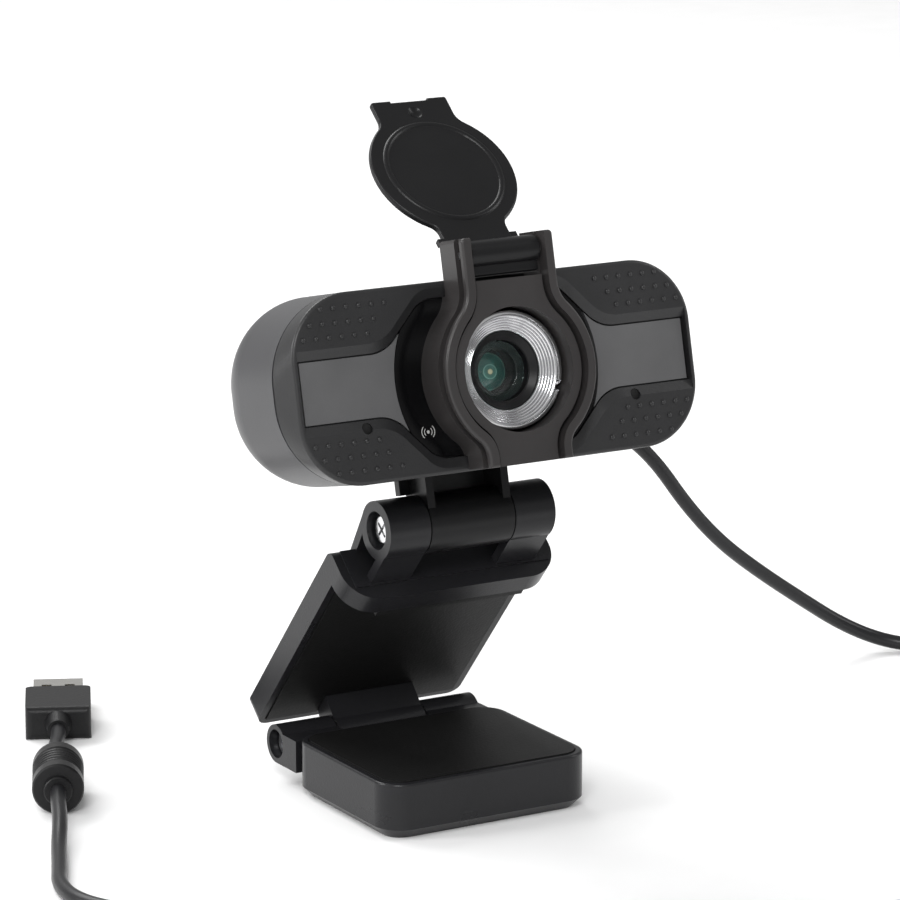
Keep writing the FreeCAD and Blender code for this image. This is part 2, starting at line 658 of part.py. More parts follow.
# ---- flap, modelled shut ----
def cover_flap():
    inner = PIN_Y - FLAP_OFF
    outer = inner - FLAP_THICK
    end_z = PIN_Z - FLAP_TAB_END
    root = FLAP_ROOT_HALF
    root_top = PIN_Z - 2.5
    upper = (root, FLAP_ROOT_SWEEP, root_top - FLAP_MIDDLE)
    lower = (FLAP_TAB_HALF, FLAP_TAB_SWEEP, end_z - FLAP_MIDDLE)
    plate = Part.Face(keyhole_wire(outer, FLAP_R, upper, lower)).extrude(V(0, FLAP_THICK, 0))
    plate.translate(V(0, 0, FLAP_MIDDLE))
    plate = plate.makeFillet(0.6, edges_at(
        plate, lambda p: abs(p.z - end_z) < 1e-3 and abs(abs(p.x) - FLAP_TAB_HALF) < 1e-3))
    faces = (outer, inner)
    rim = edges_at(plate, lambda p: p.z < root_top - 0.1
                   and min(abs(p.y - y) for y in faces) < 1e-3)
    plate = plate.makeFillet(0.5, rim)
    notch = box(-4.8, 4.8, outer - 1, inner + 1, end_z - 1, end_z + 0.8)
    lugs = box(-FLAP_LUG_HALF, FLAP_LUG_HALF, outer + 0.2, inner - 0.1, PIN_Z - 8.6, PIN_Z - 7.2)
    plate = plate.cut(notch).fuse(lugs)
    arm = slab_x([
        (outer + 0.1, PIN_Z - 4.0), (inner + 0.1, PIN_Z - 6.4), (PIN_Y - 1.5, PIN_Z - 2.6),
        (PIN_Y - 1.0, PIN_Z + 2.7), (inner - 0.8, PIN_Z - 0.4),
    ], -root, root)
    barrel = rod_x(FLAP_BARREL_R, -root, root, PIN_Y, PIN_Z)
    # the stop hangs below the barrel when the flap is open
    stop = box(-root, root, PIN_Y - 1.3, PIN_Y + 1.3, PIN_Z - 4.9, PIN_Z)
    stop = stop.makeFillet(0.6, edges_at(stop, lambda p: p.z < PIN_Z - 4.9 + 1e-3))
    stop.rotate(V(0, PIN_Y, PIN_Z), X_AXIS, FLAP_OPEN)
    bead = Part.makeTorus(13.5, 0.9, V(0, inner - 0.52, FLAP_MIDDLE), V(0, 1, 0))
    body = fuse([plate, arm, barrel, stop, bead])
    body = body.cut(rod_x(PIN_R + RUNNING, -40, 40, PIN_Y, PIN_Z))
    dimple = Part.makeSphere(2.6, V(0, inner + 2.0, end_z + 4.0))
    return body.cut(dimple).removeSplitter()


# ---- lens ----
def focus_ring():
    """Stepped metal ring with two finger notches; it turns the lens barrel in its thread."""
    front = -RING_OUT
    profile = [
        (8.6, 0.6), (8.6, front + 2.6), (9.4, front + 2.2), (9.6, front + 1.5),
        (10.4, front + 1.3), (10.6, front + 0.8), (11.4, front + 0.6), (11.6, front + 0.2),
        (12.0, front), (12.6, front), (RING_R, front + 0.5), (RING_R, 0.6),
    ]
    points = [V(r, y, 0) for r, y in profile]
    face = Part.Face(Part.makePolygon(points + points[:1]))
    body = face.revolve(V(0, 0, 0), V(0, 1, 0), 360)
    for turn in (-22, 158):
        notch = box(10.9, 20, front - 1, front + 1.6, -0.9, 0.9)
        notch.rotate(V(0, 0, 0), V(0, 1, 0), -turn)
        body = body.cut(notch)
    return body


def lens_barrel():
    cup = cone_y(8.3, GLASS_R + 0.4, -RING_OUT + 2.9, -GLASS_OUT)
    outer = rod_y(8.55, -RING_OUT + 2.9, 3.0)
    thread = rod_y(6.0, 2.0, 15.0)
    body = outer.fuse(thread).cut(cup)
    body = body.cut(rod_y(GLASS_R + 0.05, -GLASS_OUT - 0.1, 1.6))
    body = body.cut(rod_y(4.6, 0.0, 12.0)).cut(rod_y(3.6, 11.0, 20.0))
    return body.removeSplitter()


def front_lens():
    """Front glass with a bulging outer face."""
    dome = Part.makeSphere(14.0, V(0, -GLASS_OUT + 13.0, 0))
    return rod_y(GLASS_R, -3.0, 1.5).common(dome)


def inner_lens():
    ball = Part.makeSphere(8.0, V(0, 12.0, 0))
    return rod_y(4.5, 3.0, 8.5).common(ball)


def rear_lens():
    return rod_y(3.5, 12.6, 14.4)


# ---- inside the head ----
def lens_holder():
    tube = rod_y(8.4, 7.4, 15.5).cut(rod_y(6.0 + RUNNING, 0, 30))
    base = box(-9.0, 9.0, 13.0, 17.4, -9.0, 9.0).cut(box(-5.6, 5.6, 0, 30, -5.6, 5.6))
    base = base.cut(rod_y(6.0 + RUNNING, 0, 15.3))
    top = box(-9.0, 9.0, 13.0, 14.0, -9.0, 9.0).cut(rod_y(6.0 + RUNNING, 0, 30))
    return fuse([tube, base, top])


def ir_filter():
    return box(-5.6, 5.6, 15.6, 16.0, -5.6, 5.6)


def main_board():
    board = box(-26.0, 26.0, 17.4, 18.8, -17.4, 17.4)
    for sx in (-1, 1):
        for sz in (-1, 1):
            board = board.cut(rod_y(1.2, 10, 30, sx * POST_X, sz * POST_Z))
    return board


def image_sensor():
    return box(-4.0, 4.0, 16.2, 17.4, -3.6, 3.6)


def camera_chip():
    return box(10.5, 19.5, 16.2, 17.4, -4.5, 4.5)


def board_connector():
    return box(8.0, 18.0, 18.8, 23.4, -14.0, -9.0)


def board_posts():
    """Four spacers between the front housing's posts and the board."""
    posts = []
    for sx in (-1, 1):
        for sz in (-1, 1):
            x, z = sx * POST_X, sz * POST_Z
            post = rod_y(2.2, PARTING + 4.0, 17.4, x, z)
            posts.append(post.cut(rod_y(1.2, 0, 30, x, z)))
    return Part.makeCompound(posts)


def board_screws():
    screws = []
    for sx in (-1, 1):
        for sz in (-1, 1):
            x, z = sx * POST_X, sz * POST_Z
            screws.append(rod_y(0.8, PARTING, 18.8, x, z).fuse(rod_y(1.8, 18.8, 20.0, x, z)))
    return Part.makeCompound(screws)


def housing_screws():
    screws = []
    for side in (-1, 1):
        x = side * BOSS_X
        shank = rod_y(0.9, PARTING + 2, HEAD_DEEP - 6.0, x, BOSS_Z)
        screws.append(shank.fuse(rod_y(2.2, HEAD_DEEP - 6.0, HEAD_DEEP - 4.4, x, BOSS_Z)))
    return Part.makeCompound(screws)


def inner_lead():
    """Bundle of the cable's wires from the gland to the board's connector."""
    route = [V(GLAND_X, HEAD_DEEP - SHELL_WALL - 1.45, GLAND_Z), V(GLAND_X, 28.0, GLAND_Z),
             V(29.0, 22.5, -9.0), V(23.5, 21.1, -11.5), V(18.05, 21.1, -11.5)]
    return tube(route, "inner lead", 2.0)


def microphone(side):
    """Capsule in its rubber boot, whose snout fills the hole in the face."""
    y = RECESS_DEEP + 3.2
    snout = rod_y(MIC_R - 0.05, 0.85, y + 0.5, side * MIC_X, MIC_Z)
    return rod_y(2.4, y, y + 2.2, side * MIC_X, MIC_Z).fuse(snout).removeSplitter()


def status_light():
    """Light pipe behind the pictogram on the glossy surround, with its lamp."""
    return rod_y(1.25, RECESS_DEEP + PANEL_THICK, 16.0, LIGHT_X, LIGHT_Z)


def status_lamp():
    return box(LIGHT_X - 1.0, LIGHT_X + 1.0, 16.1, 17.4, LIGHT_Z - 0.8, LIGHT_Z + 0.8)


def neck():
    """Back plate and two ribs from the head down to the middle tilt barrel."""
    low = HEAD_TILT_Z
    top = -HALF_HIGH + SHELL_WALL
    plate_y0 = HEAD_TILT_Y + 1.8
    plate = box(-13.2, 13.2, plate_y0, plate_y0 + 2.0, low + BARREL_R + 0.15, top)
    stem = box(-10.6, 10.6, plate_y0, plate_y0 + 2.0, low + 2.0, top)
    parts = [plate, stem, rod_x(BARREL_R, -10.65, 10.65, HEAD_TILT_Y, low)]
    for side in (-1, 1):
        x0, x1 = sorted((side * 8.7, side * 10.6))
        parts.append(box(x0, x1, HEAD_TILT_Y - 5.6, plate_y0 + 1, low + 2.5, top))
    flange = box(-17.0, 17.0, 19.5, 29.3, top, top + 4.0)
    wall = rear_wall().cut(neck_slot())
    collar = box(-13.2, 13.2, 19.6, 29.1, top - 1.9, top + 1.0)
    body = fuse(parts + [flange.cut(wall), collar])
    return body.cut(rod_x(SCREW_R + RUNNING, -40, 40, HEAD_TILT_Y, low))


def cable_gland():
    """Stepped rubber strain relief at the back of the head."""
    x, z = GLAND_X, GLAND_Z
    start = HEAD_DEEP - SHELL_WALL
    collar = rod_y(3.6, HEAD_DEEP, HEAD_DEEP + 1.4, x, z)
    root = rod_y(2.85, start - 1.0, HEAD_DEEP, x, z)
    flange = rod_y(3.6, start - 1.4, start, x, z).cut(rear_wall())
    cone = Part.makeCone(3.2, 2.4, GLAND_LONG - 1.4, V(x, HEAD_DEEP + 1.4, z), V(0, 1, 0))
    return fuse([collar, root, flange, cone])


# ---- cable ----
def gland_tip():
    """World place of the gland's mouth, where the cable leaves it."""
    end = in_head(Part.Vertex(GLAND_X, HEAD_DEEP + GLAND_LONG, GLAND_Z))
    return end.Point


def hanging_route():
    """From the gland, round to the right and down to the desk, then to the coil's side."""
    tip = gland_tip()
    pitch = math.radians(HEAD_PITCH)
    start = tip + V(0, math.cos(pitch), -math.sin(pitch)) * 9.5
    return [tip, start] + [V(*p) for p in [
        (37.8, 34.4, 84.4), (45.3, 40.2, 81.0), (55.6, 42.7, 77.4), (66.4, 42.4, 73.2),
        (76.6, 41.9, 67.6), (85.8, 43.0, 59.3), (95.3, 45.0, 47.7), (107.0, 47.3, 36.2),
        (121.0, 49.9, 26.0), (135.5, 52.0, 16.4), (148.0, 52.6, 8.2), (158.6, 49.8, 3.0),
        (167.0, 42.2, FLOOR_AXIS), (170.6, 31.0, FLOOR_AXIS), (169.4, 18.5, FLOOR_AXIS),
        (164.5, 3.0, FLOOR_AXIS), (159.0, -13.5, FLOOR_AXIS), (155.9, -31.5, FLOOR_AXIS),
        (155.2, -50.0, FLOOR_AXIS),
    ]]


def front_route():
    """From the coil's near side round the front of the desk to the ferrite."""
    start = ferrite_start()
    lead = V(PLUG_LINE_X, PLUG_LINE_Y, 0).normalize()
    before = start - lead * 6.5
    return [V(*p) for p in [
        (127.2, -97.6, FLOOR_AXIS), (114.0, -106.8, FLOOR_AXIS), (98.0, -115.4, FLOOR_AXIS),
        (79.0, -120.8, FLOOR_AXIS), (57.0, -121.6, FLOOR_AXIS), (33.0, -116.0, FLOOR_AXIS),
        (3.5, -103.0, FLOOR_AXIS), (-25.5, -86.0, FLOOR_AXIS), (-52.0, -66.5, FLOOR_AXIS),
        (-73.0, -54.5, FLOOR_AXIS), (-88.5, -46.5, FLOOR_AXIS), (-98.8, -38.2, FLOOR_AXIS),
        (-104.3, -27.5, FLOOR_AXIS), (-103.5, -15.8, FLOOR_AXIS), (-98.2, -5.0, FLOOR_AXIS),
        (-92.6, 7.2, 2.4), (-87.4, 17.2, 4.6),
    ]] + [before, start]


def ferrite_start():
    return V(-80.7, 32.4, FERRITE_R + 0.05)


def plug_route():
    """The short length between the ferrite and the plug."""
    lead = V(PLUG_LINE_X, PLUG_LINE_Y, 0).normalize()
    start = ferrite_start() + lead * FERRITE_LONG
    end = plug_start()
    middle = (start + end) * 0.5 + V(-0.8, 0.4, 0)
    return [start, start + lead * 8.0, middle, end - lead * 8.0, end]


def plug_start():
    lead = V(PLUG_LINE_X, PLUG_LINE_Y, 0).normalize()
    place = ferrite_start() + lead * (FERRITE_LONG + 32.3)
    return V(place.x, place.y, PLUG_THICK / 2 + 0.05)


def tube(route, label, across=CABLE_D):
    """Round tube along straight runs joined by tangent arcs."""
    edges = []
    at = route[0]
    least = 1e9
    for before, corner, after in zip(route, route[1:], route[2:]):
        run_in = (corner - before).Length
        run_out = (after - corner).Length
        way_in = (corner - before).normalize()
        way_out = (after - corner).normalize()
        turn = way_in.getAngle(way_out)
        reach = 0.45 * min(run_in, run_out)
        radius = reach / math.tan(turn / 2)
        least = min(least, radius)
        start = corner - way_in * reach
        end = corner + way_out * reach
        inward = (way_out - way_in).normalize()
        depth = radius / math.cos(turn / 2) - radius
        edges.append(Part.LineSegment(at, start).toShape())
        edges.append(Part.Arc(start, corner + inward * depth, end).toShape())
        at = end
        print(label, "turn", round(math.degrees(turn), 1), "radius", round(radius, 1))
    edges.append(Part.LineSegment(at, route[-1]).toShape())
    path = Part.Wire(edges)
    section = Part.Wire(Part.makeCircle(across / 2, route[0], route[1] - route[0]))
    body = path.makePipeShell([section], True, True)
    wanted = math.pi * (across / 2) ** 2 * path.Length
    print(label, "least radius", round(least, 1), "length", round(path.Length, 1),
          "volume ratio", round(body.Volume / wanted, 4))
    return body


def cable_coil():
    """Outer shape of the seven turns wound up beside the webcam."""
    low = 0.05
    ring = rod_z(COIL_OUT_R, low, COIL_TOP, COIL_X, COIL_Y)
    ring = ring.cut(rod_z(COIL_IN_R, low - 1, COIL_TOP + 1, COIL_X, COIL_Y))
    return ring.makeFillet(1.7, [e for e in ring.Edges if e.isClosed()])


def on_plug_line(shape, start):
    """From a frame with its Y along the cable's end to the desk."""
    turned = shape.copy()
    turned.rotate(V(0, 0, 0), V(0, 0, 1), -math.degrees(math.atan2(PLUG_LINE_X, PLUG_LINE_Y)))
    turned.translate(start)
    return turned


def ferrite_cover():
    """Moulded cover with two end collars and five ribs round the middle."""
    long = FERRITE_LONG
    parts = [rod_y(FERRITE_R - 0.9, 1.0, long - 1.0)]
    for y in (0.0, long - 1.6):
        parts.append(rod_y(3.2, y, y + 1.6))
    for y in (1.4, long - 6.0):
        parts.append(rod_y(FERRITE_R, y, y + 4.6))
    for k in range(5):
        parts.append(rod_y(FERRITE_R, 6.6 + 1.72 * k, 7.7 + 1.72 * k))
    return fuse(parts).cut(rod_y(4.2, 3.0, long - 3.0)).cut(rod_y(CABLE_D / 2, -1, long + 1))


def ferrite_core():
    long = FERRITE_LONG
    return rod_y(4.18, 3.05, long - 3.05).cut(rod_y(CABLE_D / 2 + 0.3, -1, long + 1))


def plug_overmold():
    block = box(-PLUG_WIDE / 2, PLUG_WIDE / 2, PLUG_NECK, PLUG_NECK + PLUG_LONG,
                -PLUG_THICK / 2, PLUG_THICK / 2)
    block = block.makeFillet(1.6, [e for e in block.Edges if e.Length < PLUG_THICK + 0.1
                                   or e.CenterOfMass.y < PLUG_NECK + 0.1])
    neck_part = Part.makeCone(2.5, 3.3, PLUG_NECK + 0.5, V(0, 0, 0), V(0, 1, 0))
    body = fuse([block, neck_part])
    front = PLUG_NECK + PLUG_LONG
    return body.cut(box(-SHELL_WIDE / 2, SHELL_WIDE / 2, front - 6.0, front + 1,
                        -SHELL_THICK / 2, SHELL_THICK / 2))


def plug_shell():
    y0 = PLUG_NECK + PLUG_LONG - 6.0
    y1 = PLUG_NECK + PLUG_LONG + SHELL_LONG
    wall = 0.35
    body = box(-SHELL_WIDE / 2, SHELL_WIDE / 2, y0, y1, -SHELL_THICK / 2, SHELL_THICK / 2)
    body = body.cut(box(-SHELL_WIDE / 2 + wall, SHELL_WIDE / 2 - wall, y0 + wall, y1 + 1,
                        -SHELL_THICK / 2 + wall, SHELL_THICK / 2 - wall))
    for x in (-2.8, 2.8):
        body = body.cut(box(x - 1.2, x + 1.2, y1 - 7.4, y1 - 5.0, -9, 9))
    return body


def plug_tongue():
    y0 = PLUG_NECK + PLUG_LONG - 5.6
    y1 = PLUG_NECK + PLUG_LONG + SHELL_LONG - 0.6
    return box(-5.6, 5.6, y0, y1, -1.85, 0.05)


def plug_contacts():
    y0 = PLUG_NECK + PLUG_LONG - 5.0
    y1 = PLUG_NECK + PLUG_LONG + SHELL_LONG - 1.4
    strips = [box(x - 0.5, x + 0.5, y0, y1, 0.05, 0.2) for x in (-3.5, -1.0, 1.0, 3.5)]
    return Part.makeCompound(strips)


def on_desk(shape):
    """Modelled in place, in the world frame."""
    return shape


def ferrite_part(shape):
    return on_plug_line(shape, ferrite_start())


def plug_part(shape):
    return on_plug_line(shape, plug_start())


def main():
    os.makedirs("parts", exist_ok=True)
    table = [
        ("foot_block", foot_block(), on_desk),
        ("foot_pad", foot_pad(), on_desk),
        ("tripod_insert", tripod_insert(), on_desk),
        ("hinge_screw", hinge_screw(), on_desk),
        ("hinge_nut", hinge_nut(), on_desk),
        ("clip_bracket", clip_bracket(), in_clip),
        ("leg_pad", leg_pad(), in_clip),
        ("lip_pad", lip_pad(), in_clip),
        ("tilt_screw", tilt_screw(), in_clip),
        ("tilt_washer", tilt_washer(), in_clip),
        ("tilt_nut", tilt_nut(), in_clip),
        ("front_housing", front_housing().fuse(pad_dots()), in_head),
        ("rear_shell", rear_shell(), in_head),
        ("wing_panel_left", wing_panel(-1), in_head),
        ("wing_panel_right", wing_panel(1), in_head),
        ("lens_surround", lens_surround(), in_head),
        ("cover_bracket", cover_bracket(), in_head),
        ("flap_pin", flap_pin(), in_head),
        ("cover_flap", flap_open(cover_flap()), in_head),
        ("focus_ring", focus_ring(), in_head),
        ("lens_barrel", lens_barrel(), in_head),
        ("front_lens", front_lens(), in_head),
        ("inner_lens", inner_lens(), in_head),
        ("rear_lens", rear_lens(), in_head),
        ("lens_holder", lens_holder(), in_head),
        ("ir_filter", ir_filter(), in_head),
        ("main_board", main_board(), in_head),
        ("image_sensor", image_sensor(), in_head),
        ("camera_chip", camera_chip(), in_head),
        ("board_connector", board_connector(), in_head),
        ("board_posts", board_posts(), in_head),
        ("board_screws", board_screws(), in_head),
        ("housing_screws", housing_screws(), in_head),
        ("microphone_left", microphone(-1), in_head),
        ("microphone_right", microphone(1), in_head),
        ("status_light", status_light(), in_head),
        ("status_lamp", status_lamp(), in_head),
        ("neck", neck(), in_head),
        ("cable_gland", cable_gland(), in_head),
        ("inner_lead", inner_lead(), in_head),
        ("cable_drop", tube(hanging_route(), "drop"), on_desk),
        ("cable_coil", cable_coil(), on_desk),
        ("cable_front", tube(front_route(), "front"), on_desk),
        ("cable_end", tube(plug_route(), "end"), on_desk),
        ("ferrite_cover", ferrite_cover(), ferrite_part),
        ("ferrite_core", ferrite_core(), ferrite_part),
        ("plug_overmold", plug_overmold(), plug_part),
        ("plug_shell", plug_shell(), plug_part),
        ("plug_tongue", plug_tongue(), plug_part),
        ("plug_contacts", plug_contacts(), plug_part),
    ]
    for name, shape, place in table:
        placed = place(shape)
        print(name, "solids", len(placed.Solids), "valid", placed.isValid(),
              "volume", round(placed.Volume, 1))
        placed.exportStep("parts/" + name + ".step")


main()
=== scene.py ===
# %% [markdown]
# # A webcam on its fold-out monitor clip
#
# The real object is a small plastic head with a lens in the middle, held by a hinged clip that stands on
# its own foot. The moving frame of the model (which piece hangs on which hinge) is already made and is
# loaded first. This lesson then gives each piece its look: the cable, the plastics and metals, the rows of
# raised dots, the coated glass with its painted glint and painted rings of highlight, and last the light
# that shows them.

# %% Load the frame
import json
import math

import bmesh
import bpy
from mathutils import Matrix, Vector


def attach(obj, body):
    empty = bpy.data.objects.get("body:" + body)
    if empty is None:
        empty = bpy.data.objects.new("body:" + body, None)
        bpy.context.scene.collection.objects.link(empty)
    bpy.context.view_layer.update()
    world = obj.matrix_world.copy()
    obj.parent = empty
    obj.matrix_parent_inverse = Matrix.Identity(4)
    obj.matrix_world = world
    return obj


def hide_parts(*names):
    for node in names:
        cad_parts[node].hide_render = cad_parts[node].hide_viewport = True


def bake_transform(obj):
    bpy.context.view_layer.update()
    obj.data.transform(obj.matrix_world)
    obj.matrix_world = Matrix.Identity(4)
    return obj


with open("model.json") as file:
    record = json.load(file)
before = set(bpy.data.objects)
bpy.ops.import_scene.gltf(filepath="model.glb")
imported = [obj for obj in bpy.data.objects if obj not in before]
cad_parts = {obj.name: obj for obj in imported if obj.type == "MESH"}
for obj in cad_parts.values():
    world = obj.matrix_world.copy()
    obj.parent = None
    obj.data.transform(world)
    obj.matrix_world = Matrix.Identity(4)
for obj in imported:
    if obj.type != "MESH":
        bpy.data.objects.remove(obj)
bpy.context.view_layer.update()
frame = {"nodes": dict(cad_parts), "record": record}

nodes = frame["nodes"]
MM = 0.001
TURN = 360

# %% [markdown]
# ## Where the camera stands
#
# A long lens from about a metre away keeps upright edges nearly parallel, as in a catalogue view. The
# camera is turned by the direction it looks in. `to_track_quat` makes that turn from one vector, which is
# easier to read than three angles.

# %% Camera
CAMERA_PLACE = Vector((-479.19, -819.54, 303.66)) * MM
CAMERA_LOOKS = Vector((0.49316, 0.83958, -0.22781))
LENS_LONG = 174.75
SENSOR_WIDE = 36
HEAD_MIDDLE = Vector((0, 0, 0.08))
camera = bpy.data.objects.new("camera", bpy.data.cameras.new("camera"))
camera.data.lens = LENS_LONG
camera.data.sensor_width = SENSOR_WIDE
camera.data.clip_start = 0.05
camera.data.clip_end = 20
camera.location = CAMERA_PLACE
camera.rotation_mode = "QUATERNION"
camera.rotation_quaternion = CAMERA_LOOKS.to_track_quat("-Z", "Y")
bpy.context.scene.collection.objects.link(camera)
bpy.context.scene.camera = camera
print("camera is", round((CAMERA_PLACE - HEAD_MIDDLE).length, 3), "m away")

# %% [markdown]
# ## The USB cable
#
# A cable is one line with a thickness. Its line could be drawn as a Bezier curve, but a NURBS curve of
# order 3 is smooth by itself: it is pulled towards its points and never makes a corner. The points follow
# the real lead: straight out of the gland at the back, down to the desk, into a coil of seven turns put
# away beside the webcam, round the front and through the ferrite to the plug.

# %% The cable's points, in millimetres
CABLE_WIDE = 3.5
LIE = 1.9
GLAND_TIP = (34.0, 16.57, 89.41)
FROM_GLAND = [
    GLAND_TIP, (34.0, 25.82, 87.25), (37.8, 34.4, 84.4), (45.3, 40.2, 81.0), (55.6, 42.7, 77.4),
    (66.4, 42.4, 73.2), (76.6, 41.9, 67.6), (85.8, 43.0, 59.3), (95.3, 45.0, 47.7),
    (107.0, 47.3, 36.2), (121.0, 49.9, 26.0), (135.5, 52.0, 16.4), (148.0, 52.6, 8.2),
    (158.6, 49.8, 3.0), (167.0, 42.2, LIE), (170.6, 31.0, LIE), (169.4, 18.5, LIE),
    (164.5, 3.0, LIE), (159.0, -13.5, LIE), (155.9, -31.5, LIE), (155.2, -50.0, LIE),
]
TO_FERRITE = [
    (133.7, -93.0, 5.4), (127.2, -97.6, 4.6), (120.6, -102.2, 2.9), (114.0, -106.8, LIE),
    (98.0, -115.4, LIE), (79.0, -120.8, LIE), (57.0, -121.6, LIE), (33.0, -116.0, LIE),
    (3.5, -103.0, LIE), (-25.5, -86.0, LIE), (-52.0, -66.5, LIE), (-73.0, -54.5, LIE),
    (-88.5, -46.5, LIE), (-98.8, -38.2, LIE), (-104.3, -27.5, LIE), (-103.5, -15.8, LIE),
    (-98.2, -5.0, LIE), (-92.6, 7.2, 2.4), (-87.4, 17.2, 4.6), (-83.5, 26.5, 5.9),
]
LEAD = Vector((0.43, 0.903, 0)).normalized()
FERRITE_START = Vector((-80.7, 32.4, 5.9))
FERRITE_LONG = 21.2
FERRITE_TO_PLUG = 32.3
PLUG_MIDDLE_HIGH = 4.05
PLUG_START = Vector((*(FERRITE_START + LEAD * (FERRITE_LONG + FERRITE_TO_PLUG)).xy, PLUG_MIDDLE_HIGH))
print("points before and after the coil:", len(FROM_GLAND), len(TO_FERRITE))


# %% [markdown]
# The coil is too regular to type in. A loop walks round its middle: four turns on the desk that grow
# narrower, a short climb, and nearly three turns on top of them that grow wider again.

# %% The coil's points
COIL_MIDDLE = Vector((127.0, -66.0, 0))
COIL_WIDEST = 28.2
TRACK = 3.55
STEP = 20
UPPER = 5.4
LOWER_TURNS = 4
CLIMB = 100
CLIMB_OUT = 1.8
LEAVES_AT = 7 * TURN + 55


def coil_point(turned):
    """Place on the coil after this many degrees, clockwise from the right-hand side."""
    past_lower = turned - LOWER_TURNS * TURN
    if past_lower <= 0:
        radius = COIL_WIDEST - TRACK * turned / TURN
        height = LIE
    else:
        part = min(1, past_lower / CLIMB)
        radius = COIL_WIDEST - TRACK * LOWER_TURNS + CLIMB_OUT * part
        radius += TRACK * max(0, past_lower - CLIMB) / TURN
        height = LIE + (UPPER - LIE) * part
    angle = -math.radians(turned)
    return COIL_MIDDLE + Vector((radius * math.cos(angle), radius * math.sin(angle), height))


coil = [tuple(coil_point(turned)) for turned in range(0, LEAVES_AT + 1, STEP)]
FERRITE_END = FERRITE_START + LEAD * FERRITE_LONG
BOW = Vector((-0.8, 0.4, 0))
STRAIGHT = 8
end_lead = [
    FERRITE_START,
    FERRITE_START + LEAD * 10,
    FERRITE_END,
    FERRITE_START + LEAD * (FERRITE_LONG + STRAIGHT),
    (FERRITE_END + PLUG_START) / 2 + BOW,
    PLUG_START - LEAD * STRAIGHT,
    PLUG_START,
]
route = [Vector(p) * MM for p in FROM_GLAND + coil + TO_FERRITE] + [p * MM for p in end_lead]
print("coil points:", len(coil), "whole route:", len(route))

# %% [markdown]
# The same line is used twice: bare, to read the places it goes through, and with a round section, to make
# the cable itself. `new_from_object` turns the second into a mesh.


# %% Line and cable
SHARP_FROM = math.radians(32)


def nurbs_line(title, points, half_wide=0.0):
    """A smooth curve through the neighbourhood of the points, with a round section if asked."""
    line = bpy.data.curves.new(title, "CURVE")
    line.dimensions = "3D"
    line.resolution_u = 7
    line.bevel_depth = half_wide
    line.bevel_resolution = 4
    line.use_fill_caps = True
    spline = line.splines.new("NURBS")
    spline.points.add(len(points) - 1)
    for at, point in zip(spline.points, points):
        at.co = (*point, 1)
    spline.order_u = 3
    spline.use_endpoint_u = True
    return bpy.data.objects.new(title, line)


def mesh_of(thing):
    """The shown shape of an object as a plain mesh; the object itself is thrown away."""
    bpy.context.scene.collection.objects.link(thing)
    bpy.context.view_layer.update()
    ready = thing.evaluated_get(bpy.context.evaluated_depsgraph_get())
    mesh = bpy.data.meshes.new_from_object(ready)
    bpy.data.objects.remove(thing)
    return mesh


def add_piece(title, mesh, smooth=True):
    """Puts a mesh into the scene as a piece of its own, smooth but for its real edges."""
    piece = bpy.data.objects.new(title, mesh)
    bpy.context.scene.collection.objects.link(piece)
    if smooth:
        mesh.shade_smooth()
        mesh.set_sharp_from_angle(angle=SHARP_FROM)
    return piece


cable_line = [v.co.copy() for v in mesh_of(nurbs_line("cable line", route)).vertices]
cable = add_piece("usb_cable", mesh_of(nurbs_line("usb_cable", route, CABLE_WIDE / 2 * MM)))
cable_long = sum((b - a).length for a, b in zip(cable_line, cable_line[1:]))
print("cable length:", round(cable_long, 3), "m, faces:", len(cable.data.polygons))

# %% [markdown]
# ## Finishes
#
# No plastic is one flat colour. Moulded parts carry a fine grain from the mould, which scatters the light,
# and their gloss changes a little from place to place. Each finish below is one Principled shader with
# three things added: a slow cloud that shifts the colour, the same cloud in the roughness, and a fine grain
# in the bump. All patterns read Object coordinates, so they stay on the piece when it moves.


# %% A finish with grain
CLOUD_SCALE = 55
CLOUD_FROM = 0.3
CLOUD_TO = 0.7
GLOSSIER = 0.9
DULLER = 1.12


def srgb(value):
    """A screen value from 0 to 255 as the linear number that shaders use."""
    part = value / 255
    return part / 12.92 if part <= 0.04045 else ((part + 0.055) / 1.055) ** 2.4


def colour_of(red, green, blue):
    """A colour for a shader from three screen values."""
    return (srgb(red), srgb(green), srgb(blue), 1.0)


def add_node(finish, kind, **settings):
    """A new node in a finish, with these of its settings changed."""
    node = finish.node_tree.nodes.new(kind)
    for name, value in settings.items():
        setattr(node, name, value)
    return node


